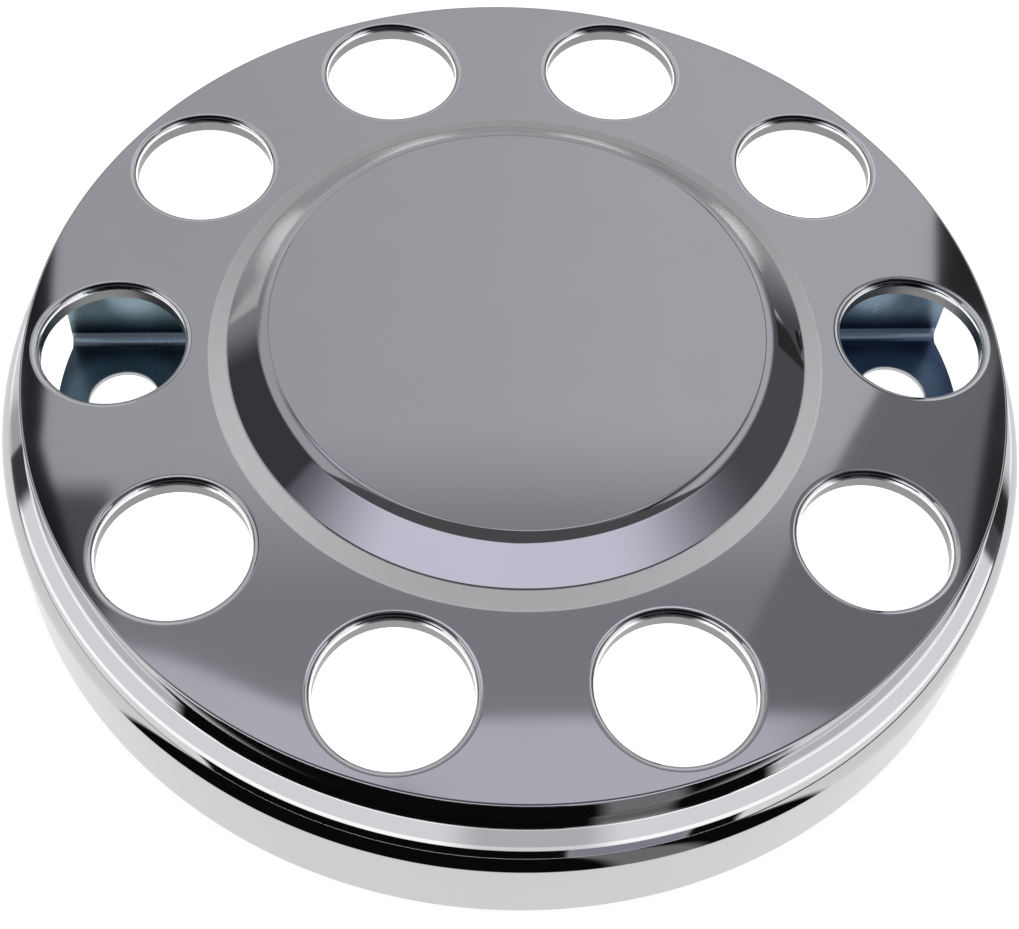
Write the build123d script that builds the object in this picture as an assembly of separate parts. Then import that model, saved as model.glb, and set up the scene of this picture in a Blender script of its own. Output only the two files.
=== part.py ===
from build123d import *
from math import cos, radians, sin, sqrt, tan
import os

# Truck wheel cover: a polished pressing with ten nut holes, held on two wheel studs by bent brackets.
# Millimetres. Origin at the centre of the skirt's lower edge, +Z up through the dome.

# Cover sheet and the wheel it fits
sheet = 1.0
pitch_circle_diameter = 335.0
hole_count = 10
hole_diameter = 60.0
collar_depth = 8.0
lip_round = 2.5
face_height = 69.0

# Centre dome: flat margin inside the holes, widths across the radius, slopes in degrees, outside roundings
dome_margin = 6.9
foot_ring_width = 7.7
wall_width = 14.8
crown_slope = 0.8
wall_slope = 41.0
foot_ring_slope = 20.0
dome_edge_round = 9.0
wall_foot_round = 1.5
foot_ring_round = 4.0

# Stepped rim: flat margin outside the holes, width across the radius, slopes, outside roundings
face_margin = 1.5
rim_width = 11.7
step_height = 16.5
step_slope = 86.0
land_slope = 42.0
face_edge_round = 3.0
step_foot_round = 1.2
shoulder_round = 14.0

# Brackets on two opposite wheel studs
plate = 2.5
foot_underside_height = 25.0
stud_hole_diameter = 30.0
web_clearance = 1.0
bend_round = 3.5
rim_clearance = 6.0
foot_swell = 3.5
flange_end_width = 34.0
flange_length = 22.0
flange_corner_round = 8.0

# Weld studs and flange nuts
stud_diameter = 6.0
stud_protrusion = 3.5
stud_collar_diameter = 7.5
stud_collar_height = 1.2
stud_collar_clearance = 0.4
nut_across_flats = 10.0
nut_height = 6.0
nut_flange_diameter = 14.2
nut_flange_height = 1.4
nut_bore_clearance = 0.05

pitch_radius = pitch_circle_diameter / 2
hole_radius = hole_diameter / 2
face_underside = face_height - sheet
flat_start_radius = pitch_radius - hole_radius - lip_round - dome_margin
foot_ring_radius = flat_start_radius - foot_ring_round * tan(radians(foot_ring_slope / 2))
wall_foot_radius = foot_ring_radius - foot_ring_width
dome_edge_radius = wall_foot_radius - wall_width
flat_end_radius = pitch_radius + hole_radius + lip_round + face_margin
face_edge_radius = flat_end_radius + face_edge_round * tan(radians(step_slope / 2))
skirt_radius = face_edge_radius + rim_width

# The bracket's webs pass outside the hole's collar, and its strip ends short of the rounded face edge
web_inside = hole_radius + sheet + web_clearance
web_outside = web_inside + plate
flange_tip = web_outside + flange_length
flange_stud_offset = web_outside + flange_length / 2
strip_half_width = sqrt(flat_end_radius**2 - web_outside**2) - pitch_radius - rim_clearance
foot_half_width = strip_half_width + foot_swell


def outward(slope):
    """Unit vector along the skin, going away from the axis and down by the slope."""
    return Vector(cos(radians(slope)), 0, -sin(radians(slope)))


def normal(slope):
    """Unit vector out of the polished side where the skin falls by the slope."""
    return Vector(sin(radians(slope)), 0, cos(radians(slope)))


def rounded_corner(corner, slope_in, slope_out, round_radius):
    """Start, middle and end of the arc that rounds a corner of the outer skin, each with its slope."""
    turn = abs(slope_out - slope_in)
    tangent = round_radius * tan(radians(turn / 2))
    start = corner - outward(slope_in) * tangent
    end = corner + outward(slope_out) * tangent
    side = 1 if slope_out > slope_in else -1
    centre = start - normal(slope_in) * round_radius * side
    middle_slope = (slope_in + slope_out) / 2
    middle = centre + normal(middle_slope) * round_radius * side
    return [(start, slope_in), (middle, middle_slope), (end, slope_out)]


def cover_stations():
    """The outer skin from the dome's top to the skirt: three points for each arc, with their slopes."""
    wall_foot_height = face_height + (foot_ring_radius - wall_foot_radius) * tan(radians(foot_ring_slope))
    dome_edge_height = wall_foot_height + (wall_foot_radius - dome_edge_radius) * tan(radians(wall_slope))
    step_foot_radius = face_edge_radius + step_height / tan(radians(step_slope))
    step_foot_height = face_height - step_height
    shoulder_height = step_foot_height - (skirt_radius - step_foot_radius) * tan(radians(land_slope))
    corners = [
        (dome_edge_radius, dome_edge_height, crown_slope, wall_slope, dome_edge_round),
        (wall_foot_radius, wall_foot_height, wall_slope, foot_ring_slope, wall_foot_round),
        (foot_ring_radius, face_height, foot_ring_slope, 0, foot_ring_round),
        (face_edge_radius, face_height, 0, step_slope, face_edge_round),
        (step_foot_radius, step_foot_height, step_slope, land_slope, step_foot_round),
        (skirt_radius, shoulder_height, land_slope, 90, shoulder_round),
    ]
    arcs = [rounded_corner(Vector(r, 0, z), a, b, bend) for r, z, a, b, bend in corners]
    crown_end = arcs[0][0][0]
    crown_radius = crown_end.X / sin(radians(crown_slope))
    crown_centre = crown_end - normal(crown_slope) * crown_radius
    crown_slopes = [0, crown_slope / 2, crown_slope]
    crown = [(crown_centre + normal(slope) * crown_radius, slope) for slope in crown_slopes]
    return [crown] + arcs


def skin_edges(depth):
    """The stations' curve at a depth below the polished skin, as joined arcs and straight runs."""
    edges = []
    last = None
    for arc in cover_stations():
        start, middle, end = [point - normal(slope) * depth for point, slope in arc]
        if last is not None and (start - last).length > 1e-6:
            edges.append(Line(last, start))
        edges.append(ThreePointArc(start, middle, end))
        last = end
    bottom = Vector(skirt_radius - depth, 0, 0)
    edges.append(Line(last, bottom))
    return edges


def make_cover():
    """Revolve the sheet's section, open the ten holes and add a rolled collar round each."""
    outer = skin_edges(0)
    inner = skin_edges(sheet)
    rim = Line(outer[-1] @ 1, inner[-1] @ 1)
    axis_line = Line(outer[0] @ 0, inner[0] @ 0)
    section = make_face(outer + inner + [rim, axis_line])
    disc = revolve(section, Axis.Z)
    opening = Cylinder(hole_radius + lip_round, 4 * sheet)
    collar = make_collar()
    for place in PolarLocations(pitch_radius, hole_count):
        disc -= Pos(0, 0, face_height) * place * opening
    for place in PolarLocations(pitch_radius, hole_count):
        disc += Pos(0, 0, face_height) * place * collar
    return disc


def make_collar():
    """A hole's rim: the sheet turns down through a quarter round into a short straight collar."""
    mouth = hole_radius + lip_round
    inside = ThreePointArc(
        (mouth, 0, 0),
        (mouth - lip_round * sin(radians(45)), 0, -lip_round * (1 - cos(radians(45)))),
        (hole_radius, 0, -lip_round),
    )
    under_round = lip_round - sheet
    underside = ThreePointArc(
        (mouth, 0, -sheet),
        (mouth - under_round * sin(radians(45)), 0, -lip_round + under_round * cos(radians(45))),
        (hole_radius + sheet, 0, -lip_round),
    )
    section = make_face([
        inside,
        Line(inside @ 1, (hole_radius, 0, -collar_depth)),
        Line((hole_radius, 0, -collar_depth), (hole_radius + sheet, 0, -collar_depth)),
        Line((hole_radius + sheet, 0, -collar_depth), underside @ 1),
        underside,
        Line(underside @ 0, inside @ 0),
    ])
    return revolve(section, Axis.Z)


def bracket_outline():
    """Plan of the bent strip: a foot that swells round the stud hole, necks at the bends, tapered flanges."""
    neck = web_inside - bend_round
    half = strip_half_width
    end = flange_end_width / 2
    side = ThreePointArc((half, -neck), (foot_half_width, 0), (half, neck))
    flange = Polyline(
        (half, neck),
        (half, web_outside),
        (end, flange_tip),
        (-end, flange_tip),
        (-half, web_outside),
        (-half, neck),
    )
    plan = make_face([side, flange, mirror(side, Plane.YZ), mirror(flange, Plane.XZ)])
    corners = plan.vertices().group_by(Axis.Y)
    return fillet(corners[0] + corners[-1], flange_corner_round)


def make_bracket():
    """A bent strip with an upright web each side of the foot and flanges under the face."""
    mid = plate / 2
    web = web_inside + mid
    low = foot_underside_height + mid
    high = face_underside - mid
    half_path = [(0, web, low), (0, web, high), (0, flange_tip, high)]
    other_half = [(0, -y, z) for _, y, z in reversed(half_path)]
    path = FilletPolyline(*other_half, *half_path, radius=bend_round + mid)
    strip = Plane.XZ.offset(flange_tip) * Pos(0, high, 0) * Rectangle(2 * foot_half_width + plate, plate)
    bent = sweep(strip, path=path)
    bracket = bent & extrude(bracket_outline(), face_height)
    bracket -= Pos(0, 0, low) * Cylinder(stud_hole_diameter / 2, 4 * plate)
    stud_passage = Cylinder(stud_collar_diameter / 2 + stud_collar_clearance, 4 * plate)
    for side in (-1, 1):
        bracket -= Pos(0, side * flange_stud_offset, high) * stud_passage
    return Pos(pitch_radius, 0, 0) * bracket


def at_each_flange(solid):
    """Copies of a fixing under all four bracket flanges."""
    places = []
    for turn in (0, 180):
        for side in (-1, 1):
            places.append(Rot(0, 0, turn) * Pos(pitch_radius, side * flange_stud_offset, 0))
    return Compound(children=[place * solid for place in places])


def make_weld_stud():
    """A weld stud: a thin collar against the face's underside and a shank below it."""
    under_face = Align.CENTER, Align.CENTER, Align.MAX
    collar = Cylinder(stud_collar_diameter / 2, stud_collar_height, align=under_face)
    shank = Cylinder(stud_diameter / 2, plate + nut_height + stud_protrusion, align=under_face)
    end_edge = shank.edges().filter_by(GeomType.CIRCLE).sort_by(Axis.Z)[0]
    return Pos(0, 0, face_underside) * (collar + chamfer(end_edge, stud_diameter / 8))


def make_flange_nut():
    """A hexagon nut with a washer face, tightened up against the bracket's flange."""
    under_flange = Align.CENTER, Align.CENTER, Align.MAX
    washer_face = Cylinder(nut_flange_diameter / 2, nut_flange_height, align=under_flange)
    hexagon = RegularPolygon(nut_across_flats / 2, 6, major_radius=False)
    body = extrude(hexagon, -nut_height)
    bore = Cylinder(stud_diameter / 2 + nut_bore_clearance, 3 * nut_height)
    return Pos(0, 0, face_underside - plate) * (washer_face + body - bore)


os.makedirs("parts", exist_ok=True)
bracket = make_bracket()
export_step(make_cover(), "parts/cover.step")
export_step(bracket, "parts/bracket_right.step")
export_step(Rot(0, 0, 180) * bracket, "parts/bracket_left.step")
export_step(at_each_flange(make_weld_stud()), "parts/weld_studs.step")
export_step(at_each_flange(make_flange_nut()), "parts/flange_nuts.step")
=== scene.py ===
import bpy
import numpy as np
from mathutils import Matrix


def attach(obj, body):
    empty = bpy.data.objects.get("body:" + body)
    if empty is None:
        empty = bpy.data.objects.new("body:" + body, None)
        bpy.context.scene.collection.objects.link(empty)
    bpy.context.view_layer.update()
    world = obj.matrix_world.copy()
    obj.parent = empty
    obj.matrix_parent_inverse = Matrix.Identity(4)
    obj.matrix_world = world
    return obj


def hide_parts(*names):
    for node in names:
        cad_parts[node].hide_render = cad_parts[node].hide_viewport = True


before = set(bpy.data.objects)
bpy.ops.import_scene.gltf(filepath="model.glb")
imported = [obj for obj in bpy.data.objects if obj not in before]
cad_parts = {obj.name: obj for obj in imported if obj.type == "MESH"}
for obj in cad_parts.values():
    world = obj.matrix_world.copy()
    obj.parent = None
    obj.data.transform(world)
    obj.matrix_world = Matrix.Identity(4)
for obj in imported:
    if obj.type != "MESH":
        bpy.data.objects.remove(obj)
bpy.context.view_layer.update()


# The cover: one disc of stainless sheet, drawn in one stroke to dome, face, step and skirt, pierced
# ten times with the rim of each hole rolled inwards, and buffed to a mirror on its outer side. Its
# foot ring is brushed and painted darker at the back as shade, the collars are rougher and painted
# dark as shade, and the underside is left satin. The lips, two bend lines and the back of the dome
# wall carry painted highlights, and the far side of each lip a painted dark reflection.
sheet = 0.0010
face_height = 0.0690
pitch_radius = 0.1675
hole_count = 10
hole_radius = 0.0300
lip_round = 0.0025
lip_ease = 0.0013
lip_ease_slope = np.radians(4.0)
collar_depth = 0.0080
dome_margin = 0.0069
foot_ring_width = 0.0077
wall_width = 0.0148
crown_slope, wall_slope, foot_ring_slope = np.radians([0.8, 41.0, 20.0])
dome_edge_round, wall_foot_round, foot_ring_round = 0.0090, 0.0015, 0.0040
face_margin = 0.0015
rim_width = 0.0117
step_height = 0.0165
step_slope, land_slope, skirt_slope = np.radians([86.0, 42.0, 90.0])
face_edge_round, step_foot_round, shoulder_round = 0.0030, 0.0012, 0.0140
face_edge_crisp = 0.0012

flat_start = pitch_radius - hole_radius - lip_round - dome_margin
foot_ring_radius = flat_start - foot_ring_round * np.tan(foot_ring_slope / 2)
wall_foot_radius = foot_ring_radius - foot_ring_width
dome_edge_radius = wall_foot_radius - wall_width
wall_foot_height = face_height + foot_ring_width * np.tan(foot_ring_slope)
dome_edge_height = wall_foot_height + wall_width * np.tan(wall_slope)
flat_end = pitch_radius + hole_radius + lip_round + face_margin
face_edge_radius = flat_end + face_edge_round * np.tan(step_slope / 2)
skirt_radius = face_edge_radius + rim_width
step_foot_radius = face_edge_radius + step_height / np.tan(step_slope)
step_foot_height = face_height - step_height
shoulder_height = step_foot_height - (skirt_radius - step_foot_radius) * np.tan(land_slope)


def skin_normal(slope):
    """Radius and height parts of the normal where the skin falls outwards by the slope."""
    return np.stack([np.sin(slope), np.cos(slope)], -1)


def bend(corner, slope_in, slope_out, bend_radius, steps):
    """Arc that rounds a corner of the skin: centre plus radius times the normal, slope by slope.

    Rows are radius, height and slope. A bend that turns up instead of down has its centre outside.
    """
    side = np.sign(slope_out - slope_in)
    tangent = bend_radius * np.tan(abs(slope_out - slope_in) / 2)
    start = np.array(corner) - tangent * np.array([np.cos(slope_in), -np.sin(slope_in)])
    slope = np.linspace(slope_in, slope_out, steps + 1)
    centre = start - side * bend_radius * skin_normal(slope_in)
    return np.column_stack([centre + side * bend_radius * skin_normal(slope), slope])


dome_edge = bend((dome_edge_radius, dome_edge_height), crown_slope, wall_slope, dome_edge_round, 16)
wall_foot = bend((wall_foot_radius, wall_foot_height), wall_slope, foot_ring_slope, wall_foot_round, 6)
ring_foot = bend((foot_ring_radius, face_height), foot_ring_slope, 0.0, foot_ring_round, 12)
crown_slopes = np.linspace(0.0, crown_slope, 13)[:-1]
crown_radius = dome_edge[0, 0] / np.sin(crown_slope)
crown_centre = dome_edge[0, :2] - crown_radius * skin_normal(crown_slope)
crown = np.column_stack([crown_centre + crown_radius * skin_normal(crown_slopes), crown_slopes])
dome_skin = np.concatenate([crown, dome_edge, wall_foot, ring_foot])

# The face's edge has the place of the pressing's rounding, drawn with a crisper bend
face_end = np.array([[flat_end, face_height, 0.0]])
face_edge = bend((face_edge_radius, face_height), 0.0, step_slope, face_edge_crisp, 16)
step_foot = bend((step_foot_radius, step_foot_height), step_slope, land_slope, step_foot_round, 6)
shoulder = bend((skirt_radius, shoulder_height), land_slope, skirt_slope, shoulder_round, 16)
skirt_edge = np.array([[skirt_radius, 0.0, skirt_slope]])
rim_skin = np.concatenate([face_end, face_edge, step_foot, shoulder, skirt_edge])

# Each lip eases down from the face along a wide arc, then turns down through the tight one
lip_slopes = np.linspace(np.pi / 2, lip_ease_slope, 9)
ease_slopes = np.linspace(lip_ease_slope, 0.0, 5)[1:]
ease_radius = lip_ease / np.sin(lip_ease_slope)
lip_drop = ease_radius * (1 - np.cos(lip_ease_slope))
lip = np.column_stack([
    hole_radius + lip_round * (1 - np.sin(lip_slopes)),
    -lip_drop - lip_round * (np.cos(lip_ease_slope) - np.cos(lip_slopes)),
    -lip_slopes,
])
ease = np.column_stack([
    lip[-1, 0] + lip_ease - ease_radius * np.sin(ease_slopes),
    ease_radius * (np.cos(ease_slopes) - 1),
    -ease_slopes,
])
collar_foot = np.array([[hole_radius, -collar_depth, -np.pi / 2]])
lip_skin = np.concatenate([collar_foot, lip, ease])


def underside(skin):
    """The sheet's other face: each point of the skin moved in by the sheet's thickness."""
    return np.column_stack([skin[:, :2] - sheet * skin_normal(skin[:, 2]), skin[:, 2]])


def spun(skin, angle, centre=(0.0, 0.0, 0.0)):
    """Surface of revolution: skin row i and angle j give (r cos a, r sin a, z), with its normal."""
    around = np.stack([np.cos(angle), np.sin(angle)], -1)[None]
    along = skin_normal(skin[:, 2])
    height = np.broadcast_to(skin[:, None, 1:2], (len(skin), len(angle), 1))
    rise = np.broadcast_to(along[:, None, 1:2], (len(skin), len(angle), 1))
    points = np.concatenate([skin[:, None, :1] * around, height], -1) + np.array(centre)
    return points, np.concatenate([along[:, None, :1] * around, rise], -1)


def ring_between(inner, outer, steps):
    """Flat net between two closed rows of points: each crossing line is divided evenly."""
    share = np.linspace(0.0, 1.0, steps + 1)[:, None, None]
    points = (1 - share) * inner[None] + share * outer[None]
    return points, np.broadcast_to([0.0, 0.0, 1.0], points.shape)


def mesh_object(name, patches):
    """One welded mesh from patches of (points, normals, turned over), each a grid with exact normals.

    Points closer than a ten-thousandth of a millimetre become one, a grid that shrinks to a pole
    gets triangles there, and the patches' own normals shade the result. Corners of the patches that
    are turned over carry a one in the attribute "inside".
    """
    points, normals, corners, inside, count = [], [], [], [], 0
    for grid, grid_normals, turned in patches:
        rows, columns = grid.shape[:2]
        index = np.arange(rows * columns).reshape(rows, columns) + count
        quads = np.stack([index[:-1, :-1], index[1:, :-1], index[1:, 1:], index[:-1, 1:]], -1)
        quads = quads.reshape(-1, 4)
        corners.append(quads[:, ::-1] if turned else quads)
        inside.append(np.full(len(quads), float(turned)))
        points.append(grid.reshape(-1, 3))
        normals.append((-grid_normals if turned else grid_normals).reshape(-1, 3))
        count += rows * columns
    points, normals, corners, inside = map(np.concatenate, (points, normals, corners, inside))
    weld_reach = 1e-7
    _, first, weld = np.unique(
        np.round(points / weld_reach), axis=0, return_index=True, return_inverse=True)
    welded = weld.reshape(-1)[corners]
    keep = welded != np.roll(welded, 1, axis=1)
    polygons = keep.sum(1)
    mesh = bpy.data.meshes.new(name)
    mesh.vertices.add(len(first))
    mesh.vertices.foreach_set("co", points[first].ravel())
    mesh.loops.add(int(polygons.sum()))
    mesh.loops.foreach_set("vertex_index", welded[keep].astype(np.int32))
    mesh.polygons.add(len(polygons))
    loop_start = np.concatenate([[0], np.cumsum(polygons)[:-1]])
    mesh.polygons.foreach_set("loop_start", loop_start.astype(np.int32))
    mesh.polygons.foreach_set("use_smooth", np.ones(len(polygons), bool))
    mesh.update(calc_edges=True)
    mesh.validate()
    mesh.normals_split_custom_set(normals[corners][keep])
    inner_side = mesh.attributes.new("inside", "FLOAT", "CORNER")
    inner_side.data.foreach_set("value", np.repeat(inside, polygons))
    piece = bpy.data.objects.new(name, mesh)
    bpy.context.collection.objects.link(piece)
    return piece


degree_turns = np.radians(np.arange(361) - 180.0 / hole_count)
sector_turns = degree_turns[:360 // hole_count + 1]
side_steps = np.linspace(0.0, 1.0, 13)[1:-1]
sector_edge = np.concatenate([
    flat_end * np.exp(1j * sector_turns),
    (flat_end + (flat_start - flat_end) * side_steps) * np.exp(1j * sector_turns[-1]),
    flat_start * np.exp(1j * sector_turns[::-1]),
    (flat_start + (flat_end - flat_start) * side_steps) * np.exp(1j * sector_turns[0]),
    flat_end * np.exp(1j * sector_turns[:1]),
])
edge_angles = np.angle(sector_edge - pitch_radius)


def turned_about_z(points, angle):
    """The points turned about the wheel's axis."""
    c, s = np.cos(angle), np.sin(angle)
    return points @ np.array([[c, s, 0.0], [-s, c, 0.0], [0.0, 0.0, 1.0]])


def hole_patches(turn):
    """One nut hole's share of the face: flat net, rolled lip, collar and the same again underneath."""
    centre = (pitch_radius, 0.0, face_height)
    level = np.full(len(sector_edge), face_height)
    outside = np.column_stack([sector_edge.real, sector_edge.imag, level])
    top_lip = spun(lip_skin, edge_angles, centre)
    under_lip = spun(underside(lip_skin), edge_angles, centre)
    under_outside = outside - np.array([0.0, 0.0, sheet])
    collar_end = np.stack([under_lip[0][0], top_lip[0][0]])
    down = np.broadcast_to([0.0, 0.0, -1.0], collar_end.shape)
    grids = [
        (*top_lip, False),
        (*ring_between(top_lip[0][-1], outside, 3), False),
        (*under_lip, True),
        (*ring_between(under_lip[0][-1], under_outside, 3), True),
        (collar_end, down, False),
    ]
    return [(turned_about_z(p, turn), turned_about_z(n, turn), over) for p, n, over in grids]


rim_outside = spun(rim_skin, degree_turns)
rim_inside = spun(underside(rim_skin), degree_turns)
rim_end = np.stack([rim_outside[0][-1], rim_inside[0][-1]])
cover_patches = [
    (*spun(dome_skin, degree_turns), False),
    (*spun(underside(dome_skin), degree_turns), True),
    (*rim_outside, False),
    (*rim_inside, True),
    (rim_end, np.broadcast_to([0.0, 0.0, -1.0], rim_end.shape), False),
]
for hole in range(hole_count):
    cover_patches += hole_patches(2 * np.pi * hole / hole_count)
cover = mesh_object("wheel_cover", cover_patches)


class Shade:
    """One output of a shader node: arithmetic on it adds Math nodes, and node() adds any other kind."""

    def __init__(self, tree, socket=None):
        self.tree, self.socket = tree, socket

    def node(self, kind, sockets, output=0, **settings):
        made = self.tree.nodes.new(kind)
        for key, value in settings.items():
            setattr(made, key, value)
        for key, value in sockets.items():
            if isinstance(value, Shade):
                self.tree.links.new(value.socket, made.inputs[key])
            else:
                made.inputs[key].default_value = value
        return Shade(self.tree, made.outputs[output] if len(made.outputs) else None)

    def math(self, operation, first, second):
        return self.node("ShaderNodeMath", {0: first, 1: second}, operation=operation)

    def __add__(self, other):
        return self.math("ADD", self, other)

    def __sub__(self, other):
        return self.math("SUBTRACT", self, other)

    def __mul__(self, other):
        return self.math("MULTIPLY", self, other)

    def __truediv__(self, other):
        return self.math("DIVIDE", self, other)

    def __rsub__(self, other):
        return self.math("SUBTRACT", other, self)

    def __rtruediv__(self, other):
        return self.math("DIVIDE", other, self)

    __radd__ = __add__
    __rmul__ = __mul__


def new_material(name):
    """A material with an empty node tree, and the start of its shader."""
    material = bpy.data.materials.new(name)
    material.use_nodes = True
    material.node_tree.nodes.clear()
    return material, Shade(material.node_tree)


def axes(shade, vector):
    """The x, y and z parts of a vector, each as a value of its own."""
    split = shade.node("ShaderNodeSeparateXYZ", {0: vector})
    return [Shade(shade.tree, output) for output in split.socket.node.outputs]


def distance(x, y):
    """Length of the flat vector with these two parts."""
    return x.math("SQRT", x * x + y * y, 0.0)


def blend(shade, first, second, mask):
    """Colour that goes from the first to the second as the mask goes from 0 to 1."""
    return shade.node("ShaderNodeMix", {0: mask, 6: first, 7: second}, 2, data_type="RGBA")


def cloud(shade, coordinates, scale, detail):
    """Soft noise from 0 to 1, with the scale in features per metre."""
    sockets = {"Vector": coordinates, "Scale": scale, "Detail": detail}
    return shade.node("ShaderNodeTexNoise", sockets, "Fac")


def ramp(shade, value, low, high):
    """Smooth step from 0 at the low value to 1 at the high one."""
    sockets = {"Value": value, "From Min": low, "From Max": high}
    return shade.node("ShaderNodeMapRange", sockets, interpolation_type="SMOOTHSTEP")


def within(shade, value, low, high, soft):
    """1 between the low and the high value, falling to 0 over a soft width centred on each."""
    rise = ramp(shade, value, low - soft / 2, low + soft / 2)
    return rise * (1 - ramp(shade, value, high - soft / 2, high + soft / 2))


buffed, buffed_deep = (0.67, 0.67, 0.69, 1.0), (0.63, 0.63, 0.655, 1.0)
brushed, brushed_back_shade = (0.90, 0.90, 0.905, 1.0), (0.62, 0.62, 0.63, 1.0)
painted_highlight = (0.97, 0.97, 0.98, 1.0)
lip_dark_reflection = (0.045, 0.045, 0.050, 1.0)
collar_shade = (0.23, 0.23, 0.23, 1.0)
satin = (0.985, 0.985, 0.985, 1.0)
buffed_rough, brushed_rough, pierced_rough, satin_rough, wall_rough = 0.025, 0.34, 0.22, 0.30, 0.30
brushed_metallic = 0.70
buffing_clouds, grain_size, brush_lines = 22.0, 900.0, 9000.0
waviness_scale, waviness_depth = 30.0, 6e-6
part_soft, line_soft = 0.0006, 0.0003
brushed_turn = -0.08, 0.10
wall_turn = 0.0, 0.045
lip_far_turn = 0.0262, 0.0292
stainless, shade = new_material("polished_stainless")
place = shade.node("ShaderNodeTexCoord", {}, "Object")
x, y, z = axes(shade, place)
radius = distance(x, y)
inside = shade.node("ShaderNodeAttribute", {}, "Fac", attribute_name="inside")
outer = 1 - inside
polish = cloud(shade, place, buffing_clouds, 3.0)
grain = cloud(shade, place, grain_size, 2.0)
rings = shade.node("ShaderNodeTexNoise", {"W": radius, "Scale": brush_lines, "Detail": 2.0}, "Fac",
                   noise_dimensions="1D")

# Parts of the skin: brushed foot ring, rolled lips with their collars, bend lines, back of the wall,
# most of them painted with light or shade below
foot_ring = outer * within(
    shade, radius, wall_foot_radius + part_soft, flat_start - 0.0001, part_soft)
below_face = z - face_height
hole_part = outer * (1 - ramp(shade, radius, flat_end - 0.002, flat_end))
ease_part = hole_part * (1 - ramp(shade, below_face, -0.00003, -0.00001))
lip_part = hole_part * (1 - ramp(shade, below_face, -0.00020, -0.00006))
collar = hole_part * (1 - ramp(shade, below_face, -1.25 * lip_round, -lip_round))
hole_pitch = 2 * np.pi / hole_count
nearest_hole = x.math("ROUND", x.math("ARCTAN2", y, x) / hole_pitch, 0.0) * hole_pitch
from_hole = y - pitch_radius * x.math("SINE", nearest_hole, 0.0)
far_lip = lip_part * ramp(shade, from_hole, *lip_far_turn)
land_end = shoulder[0, 0]
step_line = within(shade, radius, step_foot_radius - 0.0001, step_foot_radius + 0.0006, line_soft)
land_line = within(shade, radius, land_end - 0.0008, land_end + 0.0002, line_soft)
wall_back = outer * ramp(shade, y, *wall_turn) * within(
    shade, radius, dome_edge_radius - 0.002, wall_foot_radius + 0.0003, part_soft)

# The foot ring's colour is painted darker towards the back: painted shade.
ring_colour = blend(shade, brushed, brushed_back_shade, ramp(shade, y, *brushed_turn))
colour = blend(shade, buffed, buffed_deep, polish)
colour = blend(shade, colour, ring_colour, foot_ring * (0.85 + 0.15 * rings))
# Painted highlights: the lips and thin lines at the step's foot and the land's end get a near-white
# base colour.
colour = blend(shade, colour, painted_highlight, ease_part + (step_line + land_line) * outer)
# The far side of each hole's lip is painted near black: a painted dark reflection.
colour = blend(shade, colour, lip_dark_reflection, far_lip)
# The collars are painted dark grey: painted shade inside the holes.
colour = blend(shade, colour, collar_shade, collar)
# The back of the dome wall is painted near white, a painted highlight, and made rougher.
colour = blend(shade, colour, painted_highlight, wall_back)
roughness = buffed_rough + 0.03 * polish + wall_rough * wall_back
roughness = roughness + foot_ring * (brushed_rough + 0.10 * rings)
roughness = roughness + collar * (pierced_rough + 0.10 * grain)
roughness = roughness + inside * (satin_rough + 0.14 * grain)
waviness = shade.node("ShaderNodeBump", {
    "Strength": 1.0,
    "Distance": waviness_depth,
    "Height": cloud(shade, place, waviness_scale, 1.0),
})
metal = shade.node("ShaderNodeBsdfPrincipled", {
    "Base Color": blend(shade, colour, satin, inside),
    "Metallic": 1 - (1 - brushed_metallic) * foot_ring,
    "Roughness": roughness,
    "Normal": waviness,
})
shade.node("ShaderNodeOutputMaterial", {"Surface": metal})
cover.data.materials.append(stainless)
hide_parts("cover")
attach(cover, "root")


# The brackets: two bent strips of zinc-plated steel under the left and right holes. The foot has the
# hole for the wheel stud, the webs stand beside the nut hole and the flanges lie under the face.
plate = 0.0025
foot_underside = 0.0250
stud_hole_radius = 0.0150
web_clearance = 0.0010
bend_round = 0.0035
rim_clearance = 0.0060
foot_swell = 0.0035
flange_end_width = 0.0340
flange_length = 0.0220
flange_corner_round = 0.0080
flange_hole_radius = 0.00415
plate_edge_round = 0.0004

web_inside = hole_radius + sheet + web_clearance
web_outside = web_inside + plate
flange_tip = web_outside + flange_length
flange_hole_reach = web_outside + flange_length / 2
strip_half_width = np.sqrt(flat_end**2 - web_outside**2) - pitch_radius - rim_clearance
bend_middle = bend_round + plate / 2
foot_level = foot_underside + plate / 2
flange_level = face_height - sheet - plate / 2
first_bend = web_inside - bend_round
web_start = first_bend + bend_middle * np.pi / 2
web_end = web_start + flange_level - foot_level - 2 * bend_middle
flange_start = web_end + bend_middle * np.pi / 2
flange_shift = flange_start - first_bend - 2 * bend_middle


def bend_angles(along):
    """How far the first and the second bend have turned at a distance along the strip."""
    run = np.abs(along)
    first = np.clip((run - first_bend) / bend_middle, 0.0, np.pi / 2)
    second = np.clip((run - web_end) / bend_middle, 0.0, np.pi / 2)
    return run, first, second


def strip_reach(along):
    """Distance from the foot's middle in plan: straight runs, and r sin a, r (1 - cos a) in bends."""
    run, first, second = bend_angles(along)
    bends = bend_middle * (np.sin(first) + 1 - np.cos(second))
    return np.minimum(run, first_bend) + bends + np.maximum(run - flange_start, 0.0)


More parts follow.
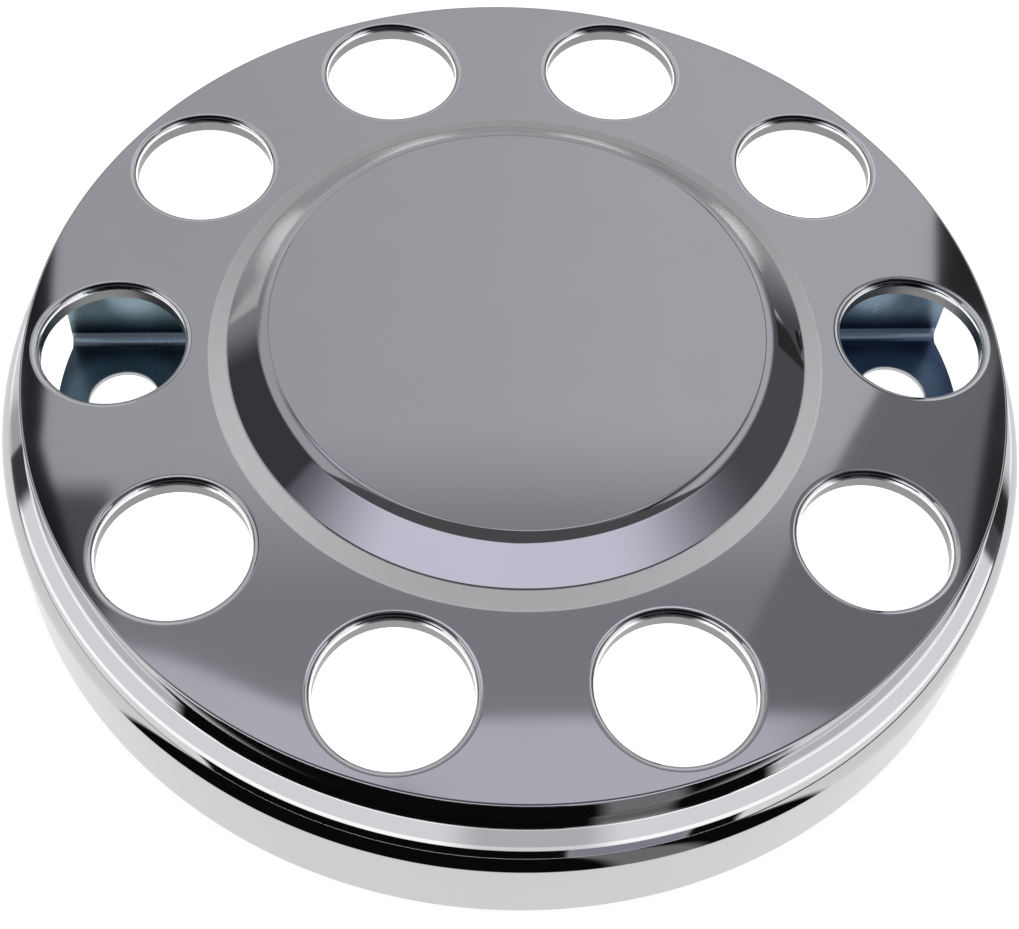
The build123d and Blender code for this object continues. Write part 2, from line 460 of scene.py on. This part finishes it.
def bent(flat):
    """Point of the bent plate from flat coordinates: across, along, and up from mid-thickness."""
    across, along, up = np.moveaxis(flat, -1, 0)
    run, first, second = bend_angles(along)
    rise = np.clip(run - web_start, 0.0, web_end - web_start)
    level = foot_level + bend_middle * (1 - np.cos(first) + np.sin(second)) + rise
    tilt = first - second
    side = np.where(along < 0, -1.0, 1.0)
    reach = side * (strip_reach(along) - up * np.sin(tilt))
    return np.stack([pitch_radius + across, reach, level + up * np.cos(tilt)], -1)


def bent_normal(flat, normal):
    """Direction given on the flat plate, turned with the sheet at that distance along the strip."""
    _, first, second = bend_angles(flat[..., 1])
    tilt = np.where(flat[..., 1] < 0, -1.0, 1.0) * (first - second)
    across, along, up = np.moveaxis(normal, -1, 0)
    turned = along * np.cos(tilt) - up * np.sin(tilt), along * np.sin(tilt) + up * np.cos(tilt)
    return np.stack([across, *turned], -1)


side_arc = (first_bend**2 + foot_swell**2) / (2 * foot_swell)
taper = (strip_half_width - flange_end_width / 2) / flange_length
runs = np.concatenate([
    np.linspace(0.0, first_bend, 13)[:-1],
    np.linspace(first_bend, web_start, 9)[:-1],
    np.linspace(web_start, web_end, 9)[:-1],
    np.linspace(web_end, flange_start, 9),
])
foot_rows, strip_rows = 12, len(runs)
swell = foot_swell - side_arc + np.sqrt(np.maximum(side_arc**2 - runs**2, 0.0))
widths = strip_half_width + np.where(runs < first_bend, swell, 0.0)
widths -= taper * np.maximum(strip_reach(runs) - web_outside, 0.0)
corner_height = flange_tip - flange_corner_round
corner_middle = strip_half_width - taper * (corner_height - web_outside)
corner_middle -= flange_corner_round * np.hypot(1.0, taper)
corner_turn = np.linspace(np.arctan(taper), np.pi / 2, 10)
corner = np.column_stack([
    corner_middle + flange_corner_round * np.cos(corner_turn),
    corner_height + flange_corner_round * np.sin(corner_turn) + flange_shift,
])
tip = np.column_stack([np.linspace(corner_middle, 0.0, 6)[1:], np.full(5, flange_tip + flange_shift)])
quarter = np.concatenate([np.column_stack([widths, runs]), corner, tip])
half_loop = np.concatenate([quarter, quarter[-2::-1] * [-1, 1]])
outline = np.concatenate([half_loop, -half_loop[1:]])
tangent = np.roll(outline[:-1], -1, 0) - np.roll(outline[:-1], 1, 0)
outward = np.column_stack([tangent[:, 1], -tangent[:, 0]]) / np.linalg.norm(tangent, axis=1)[:, None]
outward = np.concatenate([outward, outward[:1]])
inset = (outline - plate_edge_round * outward)[:len(quarter)]


def raised(flat_points, height):
    """Flat points of the plate put at one height above the middle of the sheet."""
    return np.concatenate([flat_points, np.full(flat_points.shape[:-1] + (1,), height)], -1)


def plate_rim(loop, away):
    """Rounded edge of the plate along a closed loop: a quarter round above, a flat and one below."""
    turn = np.radians([0, 22.5, 45, 67.5, 90, 90, 112.5, 135, 157.5, 180])[:, None]
    middle = np.repeat([plate / 2 - plate_edge_round, plate_edge_round - plate / 2], 5)[:, None]
    side = loop[None] + (plate_edge_round * (np.sin(turn) - 1))[..., None] * away[None]
    height = np.broadcast_to(middle + plate_edge_round * np.cos(turn), side.shape[:2])
    upright = np.broadcast_to(np.cos(turn)[..., None], side.shape[:2] + (1,))
    normal = np.concatenate([np.sin(turn)[..., None] * away[None], upright], -1)
    return np.concatenate([side, height[..., None]], -1), normal, False


def round_hole(edge, centre, hole):
    """Net from a closed edge of the plate to a round hole in it, with the hole's rounded edge."""
    angle = np.unwrap(np.arctan2(edge[:, 1] - centre, edge[:, 0]))
    spoke = np.column_stack([np.cos(angle), np.sin(angle)])
    inner = [0.0, centre] + (hole + plate_edge_round) * spoke
    nets = []
    for height, over in ((plate / 2, False), (-plate / 2, True)):
        nets.append((*ring_between(raised(inner, height), raised(edge, height), 6), over))
    return nets + [plate_rim(([0.0, centre] + hole * spoke)[::-1], -spoke[::-1])]


across_steps = 17
across_shares = np.linspace(1.0, -1.0, across_steps)[:, None]


def cross_row(row):
    """Points straight across the strip at one row of its inset edge."""
    half_width, along = inset[row]
    return np.concatenate([across_shares * half_width, np.full((across_steps, 1), along)], 1)


foot_side = np.concatenate([inset[foot_rows:0:-1] * [1, -1], inset[:foot_rows + 1]])
foot_end = cross_row(foot_rows)
foot_edge = np.concatenate([foot_side, foot_end[1:], -foot_side[1:], -foot_end[1:]])
flange_root = cross_row(strip_rows - 1)[::-1]
flange_side = inset[strip_rows:]
flange_far = flange_side[-2::-1] * [-1, 1]
flange_edge = np.concatenate([flange_root, flange_side, flange_far, flange_root[:1]])
web_rows = inset[foot_rows:strip_rows]
web_net = np.stack([across_shares[:, 0] * web_rows[:, :1],
                    np.broadcast_to(web_rows[:, 1:], (len(web_rows), across_steps))], -1)
flat_patches = [plate_rim(outline, outward)] + round_hole(foot_edge, 0.0, stud_hole_radius)
for half in (1.0, -1.0):
    turn_round = np.array([half, half, 1.0])
    half_patches = round_hole(flange_edge, flange_hole_reach + flange_shift, flange_hole_radius)
    for height, over in ((plate / 2, False), (-plate / 2, True)):
        net = raised(web_net, height)
        half_patches.append((net, np.broadcast_to([0.0, 0.0, 1.0], net.shape), over))
    flat_patches += [(p * turn_round, n * turn_round, over) for p, n, over in half_patches]
bracket_patches = [(bent(p), bent_normal(p, n), over) for p, n, over in flat_patches]

zinc_foot_shade = (0.018, 0.032, 0.052, 1.0)
zinc_blue = (0.13, 0.22, 0.275, 1.0)
zinc_pale = (0.42, 0.56, 0.64, 1.0)
zinc_bend_highlight = (0.30, 0.39, 0.47, 1.0)
zinc_tint = (0.05, 0.085, 0.24, 1.0)
stud_hole_rim_grey = (0.36, 0.37, 0.39, 1.0)
bloom_size, zinc_grain = 60.0, 1400.0
cut_reach = stud_hole_radius + 0.0003, stud_hole_radius + 0.0007
foot_reach = 0.022, 0.030
web_rise = 0.031, 0.050
bend_rise = 0.0280, 0.0335
bend_soft = 0.0016
zinc, shade = new_material("zinc_plate")
place = shade.node("ShaderNodeTexCoord", {}, "Object")
x, y, z = axes(shade, place)
bloom = cloud(shade, place, bloom_size, 4.0)
grain = cloud(shade, place, zinc_grain, 2.0)
from_stud = distance(x.math("ABSOLUTE", x, 0.0) - pitch_radius, y)
# The rim of the stud hole is lighter grey than the plating around it.
cut_edge = 1 - ramp(shade, from_stud, *cut_reach)
foot_part = 1 - ramp(shade, from_stud, *foot_reach)
web_part = ramp(shade, z, *web_rise)
bend_part = within(shade, z, *bend_rise, bend_soft)
# Painted shade and light: the foot is painted near black as shade under the cover, a little lighter
# near the stud hole, and the web is painted paler upwards towards the light; the bloom clouds vary its
# tone at random.
foot_colour = blend(shade, zinc_foot_shade, zinc_blue, 0.45 * foot_part)
web_colour = blend(shade, zinc_blue, zinc_pale, bloom)
colour = blend(shade, foot_colour, web_colour, web_part)
# A pale band along the lower bends is a painted highlight.
colour = blend(shade, colour, zinc_bend_highlight, bend_part)
colour = blend(shade, colour, zinc_tint, 0.30 * ramp(shade, x, -0.01, 0.01))
chalky = web_part.math("MAXIMUM", web_part, bend_part) * (1 - cut_edge)
metal = shade.node("ShaderNodeBsdfPrincipled", {
    "Base Color": blend(shade, colour, stud_hole_rim_grey, cut_edge),
    "Metallic": 1 - 0.55 * chalky,
    "Roughness": 0.18 + 0.12 * bloom + 0.03 * grain,
})
shade.node("ShaderNodeOutputMaterial", {"Surface": metal})
for name, half_turn in (("bracket_right", 0.0), ("bracket_left", np.pi)):
    bracket = mesh_object("stud_" + name, [
        (turned_about_z(points, half_turn), turned_about_z(normals, half_turn), over)
        for points, normals, over in bracket_patches
    ])
    bracket.data.materials.append(zinc)
    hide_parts(name)
    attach(bracket, "root")


# The weld studs: four threaded pins welded under the face by a thin collar, one through each bracket
# flange. The thread runs out at the collar and at the chamfered end.
stud_radius = 0.0030
stud_collar_radius, stud_collar_height = 0.00375, 0.0012
stud_length = 0.0120
stud_chamfer = 0.00075
thread_pitch, thread_depth = 0.0010, 0.00055
around = np.radians(np.linspace(0.0, 360.0, 33))


def turned_patches(profile, angle):
    """Solid of revolution with sharp edges: each straight run of the profile is a cone of its own."""
    patches = []
    for start, end in zip(profile[:-1], profile[1:]):
        slope = np.arctan2(start[1] - end[1], end[0] - start[0])
        patches.append((*spun(np.array([[*start, slope], [*end, slope]]), angle), False))
    return patches


def threaded(top, bottom, steps):
    """Right-hand thread: r = R - d f(z) (1 - cos(2 pi z / p - a)) / 2, where f fades the ends."""
    height = np.linspace(top, bottom, steps)[:, None]
    phase = 2 * np.pi * height / thread_pitch - around[None]
    fade = np.clip(np.minimum(top - height, height - bottom) / (0.7 * thread_pitch), 0.0, 1.0)
    radius = stud_radius - thread_depth * fade * (1 - np.cos(phase)) / 2
    turn_slope = thread_depth * fade * np.sin(phase) / (2 * radius)
    rise_slope = -np.pi * thread_depth * fade * np.sin(phase) / thread_pitch
    c, s = np.cos(around)[None], np.sin(around)[None]
    points = np.stack(np.broadcast_arrays(radius * c, radius * s, height), -1)
    normals = np.stack([c + turn_slope * s, s - turn_slope * c, -rise_slope], -1)
    return points, normals / np.linalg.norm(normals, axis=-1, keepdims=True), False


thread_end = -stud_length + stud_chamfer
stud_patches = turned_patches([
    (0.0, 0.0), (stud_collar_radius, 0.0),
    (stud_collar_radius, -stud_collar_height), (stud_radius, -stud_collar_height),
], around)
stud_patches += [threaded(-stud_collar_height, thread_end, 122)]
stud_patches += turned_patches([
    (stud_radius, thread_end), (stud_radius - stud_chamfer, -stud_length), (0.0, -stud_length),
], around)


def at_each_flange(patches, height):
    """The patches of one fixing repeated on the axes of the four flange holes, at one height."""
    copies = []
    for half in (1.0, -1.0):
        for side in (1.0, -1.0):
            place = np.array([half * pitch_radius, side * flange_hole_reach, height])
            copies += [(points + place, normals, over) for points, normals, over in patches]
    return copies


bright_steel = (0.64, 0.64, 0.65, 1.0)
dull_steel = (0.50, 0.50, 0.51, 1.0)
fixing, shade = new_material("stainless_fixing")
place = shade.node("ShaderNodeTexCoord", {}, "Object")
wear = cloud(shade, place, 350.0, 3.0)
metal = shade.node("ShaderNodeBsdfPrincipled", {
    "Base Color": blend(shade, bright_steel, dull_steel, wear),
    "Metallic": 1.0,
    "Roughness": 0.22 + 0.16 * wear,
})
shade.node("ShaderNodeOutputMaterial", {"Surface": metal})
studs = mesh_object("threaded_studs", at_each_flange(stud_patches, face_height - sheet))
studs.data.materials.append(fixing)
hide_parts("weld_studs")
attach(studs, "root")


# The flange nuts: hexagons with a round washer face that is tight against the bracket's flange. The
# corners of the free end are turned off to a cone.
nut_flat_reach = 0.0050
nut_height = 0.0060
nut_bore_radius = 0.00305
nut_flange_radius, nut_flange_height = 0.0071, 0.0014
nut_chamfer_radius = 0.00475
nut_chamfer_slope = np.radians(30.0)
nut_flange_round = 0.0003


def nut_sector(turn):
    """One sixth of the nut below its washer: r = a / cos t, then a cone z = z0 + (r - r0) tan 30."""
    angle = np.radians(np.linspace(-30.0, 30.0, 13))
    hexagon = nut_flat_reach / np.cos(angle)
    cone_start = -nut_height + (hexagon - nut_chamfer_radius) * np.tan(nut_chamfer_slope)

    def between(first, second, normal):
        share = np.linspace(0.0, 1.0, 3)[:, None]
        radius, height = [(1 - share) * a + share * b for a, b in zip(first, second)]
        points = np.stack([radius * np.cos(angle + turn), radius * np.sin(angle + turn), height], -1)
        return points, np.broadcast_to(normal, points.shape), False

    whole = np.ones_like(angle)
    washer_edge = (nut_flange_radius - nut_flange_round) * whole, -nut_flange_height * whole
    root = hexagon, -nut_flange_height * whole
    cone_top, cone_foot = (hexagon, cone_start), (nut_chamfer_radius * whole, -nut_height * whole)
    bore = nut_bore_radius * whole, -nut_height * whole
    flat_normal = [np.cos(turn), np.sin(turn), 0.0]
    cone_normal = np.stack([np.sin(nut_chamfer_slope) * np.cos(angle + turn),
                            np.sin(nut_chamfer_slope) * np.sin(angle + turn),
                            -np.cos(nut_chamfer_slope) * whole], -1)
    return [
        between(washer_edge, root, [0.0, 0.0, -1.0]),
        between(root, cone_top, flat_normal),
        between(cone_top, cone_foot, cone_normal),
        between(cone_foot, bore, [0.0, 0.0, -1.0]),
    ]


nut_around = np.radians(np.linspace(0.0, 360.0, 73))
nut_patches = turned_patches([
    (nut_bore_radius, -nut_height), (nut_bore_radius, 0.0), (nut_flange_radius, 0.0),
    (nut_flange_radius, nut_flange_round - nut_flange_height),
    (nut_flange_radius - nut_flange_round, -nut_flange_height),
], nut_around)
for sixth in range(6):
    nut_patches += nut_sector(np.radians(30.0 + 60.0 * sixth))
nuts = mesh_object("washer_face_nuts", at_each_flange(nut_patches, face_height - sheet - plate))
nuts.data.materials.append(fixing)
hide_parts("flange_nuts")
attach(nuts, "root")


# The floor: a white table that shows white to the camera and in the metal, and keeps the soft shadow
# at the skirt's foot. In the metal its front part is dark, as a black sheet laid before the set, and
# it darkens far away, most of all to the right.
floor_reach = 4.0
black = (0.0, 0.0, 0.0, 1.0)
table_matt = (0.42, 0.42, 0.42, 1.0)
table_seen, table_seen_under = 0.72, 1.02
table_near, table_under, table_dark = 0.88, 1.3, 0.004
table_most = 1.5
sheet_start, sheet_soft = 0.2350, 0.004
sheet_bearings, sheen_bearings, bearing_soft = (-50.0, 34.0), (9.0, 19.0), 3.0
sheet_sheen = 0.20
far_start, far_end = 0.6, 1.0
far_loss_left, far_loss_right = 0.45, 0.97
white_floor, shade = new_material("floor")
x, y, _ = axes(shade, shade.node("ShaderNodeTexCoord", {}, "Object"))
radius = distance(x, y)
bearing = x.math("ARCTAN2", x, 0 - y) * np.degrees(1.0)
camera_ray = shade.node("ShaderNodeLightPath", {}, "Is Camera Ray")
rays = camera_ray.socket.node.outputs
glossy_ray, through_ray = [
    Shade(shade.tree, rays[name]) for name in ("Is Glossy Ray", "Is Transmission Ray")]
# Under the cover the floor is painted brighter, to the camera and in the metal: a painted pool of light
# where the cover's shadow falls.
under_cover = 1 - ramp(shade, radius, skirt_radius - sheet, skirt_radius - 0.2 * sheet)
black_sheet = ramp(shade, radius, sheet_start, sheet_start + sheet_soft)
black_sheet = black_sheet * within(shade, bearing, *sheet_bearings, bearing_soft)
sheen = sheet_sheen * within(shade, bearing, *sheen_bearings, bearing_soft)
far_loss = far_loss_left + (far_loss_right - far_loss_left) * ramp(shade, x, -0.4, 0.4)
far_loss = far_loss * ramp(shade, radius, far_start, far_end)
shown = table_seen + (table_seen_under - table_seen) * under_cover
mirrored = table_near * (1 - black_sheet) * (1 - far_loss) + sheen * black_sheet
mirrored = mirrored + (table_under - table_near) * under_cover + table_dark
brightness = shown * (camera_ray + through_ray) + mirrored * glossy_ray
table_white = (table_most, table_most, table_most, 1.0)
glow = shade.node("ShaderNodeEmission", {
    "Color": blend(shade, black, table_white, brightness / table_most),
})
lit = shade.node("ShaderNodeBsdfDiffuse", {"Color": blend(shade, table_matt, black, glossy_ray)})
surface = shade.node("ShaderNodeAddShader", {0: glow, 1: lit})
shade.node("ShaderNodeOutputMaterial", {"Surface": surface})
floor_corners = floor_reach * np.array([[-1, -1, 0], [1, -1, 0], [1, 1, 0], [-1, 1, 0]])
floor_mesh = bpy.data.meshes.new("floor")
floor_mesh.from_pydata(floor_corners.tolist(), [], [(0, 1, 2, 3)])
floor_mesh.materials.append(white_floor)
floor = bpy.data.objects.new("floor", floor_mesh)
bpy.context.collection.objects.link(floor)


# The studio: a white tent that lights the set evenly and softly. What the polished metal mirrors is its
# grey roof with dark frames at the left and right, a boom over the set, pale cloth in front and along
# the foot of the tent, dark gaps at both ends, and the dark room behind the camera.
roof_left, roof_right = (0.445, 0.448, 0.468, 1.0), (0.53, 0.535, 0.555, 1.0)
roof_front, roof_far = (0.27, 0.271, 0.289, 1.0), (0.26, 0.262, 0.272, 1.0)
left_black, left_grey = (0.012, 0.013, 0.015, 1.0), (0.095, 0.096, 0.103, 1.0)
right_black, right_grey = (0.022, 0.0225, 0.025, 1.0), (0.19, 0.191, 0.205, 1.0)
cloth = (0.60, 0.595, 0.66, 1.0)
boom = (0.09, 0.091, 0.095, 1.0)
gap_left, gap_right = (0.052, 0.053, 0.057, 1.0), (0.088, 0.090, 0.098, 1.0)
front_cloth = (0.78, 0.775, 0.90, 1.0)
low_cloth, low_middle = (0.97, 0.97, 0.975, 1.0), (0.62, 0.62, 0.63, 1.0)
room, room_slot = (0.003, 0.003, 0.004, 1.0), (0.30, 0.295, 0.35, 1.0)
tent = (1.0, 1.0, 1.0, 1.0)
world = bpy.data.worlds.new("studio")
bpy.context.scene.world = world
world.use_nodes = True
world.node_tree.nodes.clear()
shade = Shade(world.node_tree)

# A direction's place in the tent: degrees over the set from the far horizon to the near one, degrees
# to the right of the middle, and the rise above a plane that tips down towards the back
x, y, z = axes(shade, shade.node("ShaderNodeTexCoord", {}, "Generated"))
over = z.math("ARCTAN2", z, y) * np.degrees(1.0)
right = x.math("ARCSINE", x, 0.0) * np.degrees(1.0)
left = 0 - right
sideways = right.math("ABSOLUTE", right, 0.0)
rise = z + 0.40 * y + 0.046 * x

# Roof, darker far away and towards the front
roof = blend(shade, roof_left, roof_right, ramp(shade, right, -12.0, 16.0))
seen = blend(shade, roof_far, roof, ramp(shade, over, 26.0, 44.0))
roof_front_part = ramp(shade, over, 56.0, 61.5) * within(shade, right, -22.0, 24.0, 8.0)
seen = blend(shade, seen, roof_front, roof_front_part)

# Left frame: a grey panel and a black wedge that is narrowest at 56 degrees
left_panel = within(shade, over, 57.4, 61.5, 1.0) * within(shade, right, -12.0, -9.0, 0.6)
seen = blend(shade, seen, left_grey, left_panel)
wedge = over.math("MAXIMUM", 0.28 * (over - 56.0), 0.07 * (56.0 - over)) + left
left_wedge = ramp(shade, wedge, 11.0, 11.25) * within(shade, right, -12.0, -8.0, 0.6)
seen = blend(shade, seen, left_black, left_wedge * within(shade, over, 44.0, 61.5, 1.0))

# Right frame: black at the back, grey in front, with a slanting inner edge
frame_tone = blend(shade, right_black, right_grey, ramp(shade, over, 51.5, 54.0))
frame_tone = blend(shade, frame_tone, right_black, ramp(shade, right + 0.17 * over, 27.75, 27.95))
slant = right + 0.54 * over.math("MAXIMUM", over - 51.2, 0.0)
right_frame = ramp(shade, slant, 16.75, 17.05) * (1 - ramp(shade, right, 19.0, 19.6))
seen = blend(shade, seen, frame_tone, right_frame)

# Cloth over the camera, the boom, the gaps at both ends and the front cloth
cloth_start = ramp(shade, over + 2.35 * ramp(shade, left, 1.0, 9.0), 64.5, 65.0)
cloth_part = cloth_start * (1 - ramp(shade, over, 68.5, 70.0)) * within(shade, right, -14.0, 13.0, 4.0)
seen = blend(shade, seen, cloth, cloth_part)
seen = blend(shade, seen, boom, ramp(shade, over - 0.75 * sideways, 66.0, 68.5))
gap = blend(shade, gap_left, gap_right, ramp(shade, right, -10.0, 10.0))
seen = blend(shade, seen, gap, ramp(shade, right, 38.0, 54.0) + ramp(shade, left, 50.0, 62.0))
front_part = ramp(shade, over + 0.35 * sideways, 130.0, 133.5)
front_part = front_part * ramp(shade, right, -72.0, -32.0) * (1 - ramp(shade, right, 24.0, 73.0))
seen = blend(shade, seen, front_cloth, front_part)

# Foot of the tent, and the room behind the camera with one lit slot
low = blend(shade, low_cloth, low_middle, within(shade, right, -8.0, 14.0, 8.0))
low_part = ramp(shade, over, 8.0, 16.0) * (1 - ramp(shade, rise, 0.213, 0.237))
seen = blend(shade, seen, low, low_part)
lowest = 1 - ramp(shade, rise, 0.042, 0.060)
seen = blend(shade, seen, tent, lowest)
behind = lowest * ramp(shade, over, 90.0, 100.0)
seen = blend(shade, seen, room_slot, behind * within(shade, right, 9.0, 28.0, 2.0))
room_part = within(shade, right, -52.0, 9.0, 2.0) + within(shade, right, 28.0, 37.0, 2.0)
seen = blend(shade, seen, room, behind * room_part)

glossy_ray = shade.node("ShaderNodeLightPath", {}, "Is Glossy Ray")
soft_light = shade.node("ShaderNodeBackground", {"Color": tent, "Strength": 1.0})
mirror_view = shade.node("ShaderNodeBackground", {"Color": seen, "Strength": 1.0})
surround = shade.node("ShaderNodeMixShader", {0: glossy_ray, 1: soft_light, 2: mirror_view})
shade.node("ShaderNodeOutputWorld", {"Surface": surround})
bpy.context.scene.view_settings.view_transform = "Standard"


# The camera: above the front edge, looking down on the face at the photograph's angle, rolled a little,
# with the photograph's focal length in pixels and the same shift of its frame.
image_width = 1019
focal_pixels = 1791.0
lens_shift = 0.0211, -0.1412
camera_distance = 0.7542
camera_elevation, camera_azimuth, camera_roll = np.radians([52.10, -4.67, 3.38])
aim = np.array([-0.0115, 0.0101, face_height])
away = np.array([
    np.cos(camera_elevation) * np.sin(camera_azimuth),
    -np.cos(camera_elevation) * np.cos(camera_azimuth),
    np.sin(camera_elevation),
])
level_right = np.cross(-away, [0.0, 0.0, 1.0])
level_right /= np.linalg.norm(level_right)
level_up = np.cross(level_right, -away)
right = np.cos(camera_roll) * level_right + np.sin(camera_roll) * level_up
up = np.cos(camera_roll) * level_up - np.sin(camera_roll) * level_right
pose = np.eye(4)
pose[:3, :3] = np.column_stack([right, up, away])
pose[:3, 3] = aim + camera_distance * away
camera_data = bpy.data.cameras.new("camera")
camera_data.sensor_width = 36.0
camera_data.lens = camera_data.sensor_width * focal_pixels / image_width
camera_data.shift_x, camera_data.shift_y = lens_shift
camera_data.clip_start = 0.01
camera = bpy.data.objects.new("camera", camera_data)
camera.matrix_world = pose.T.tolist()
bpy.context.collection.objects.link(camera)
bpy.context.scene.camera = camera
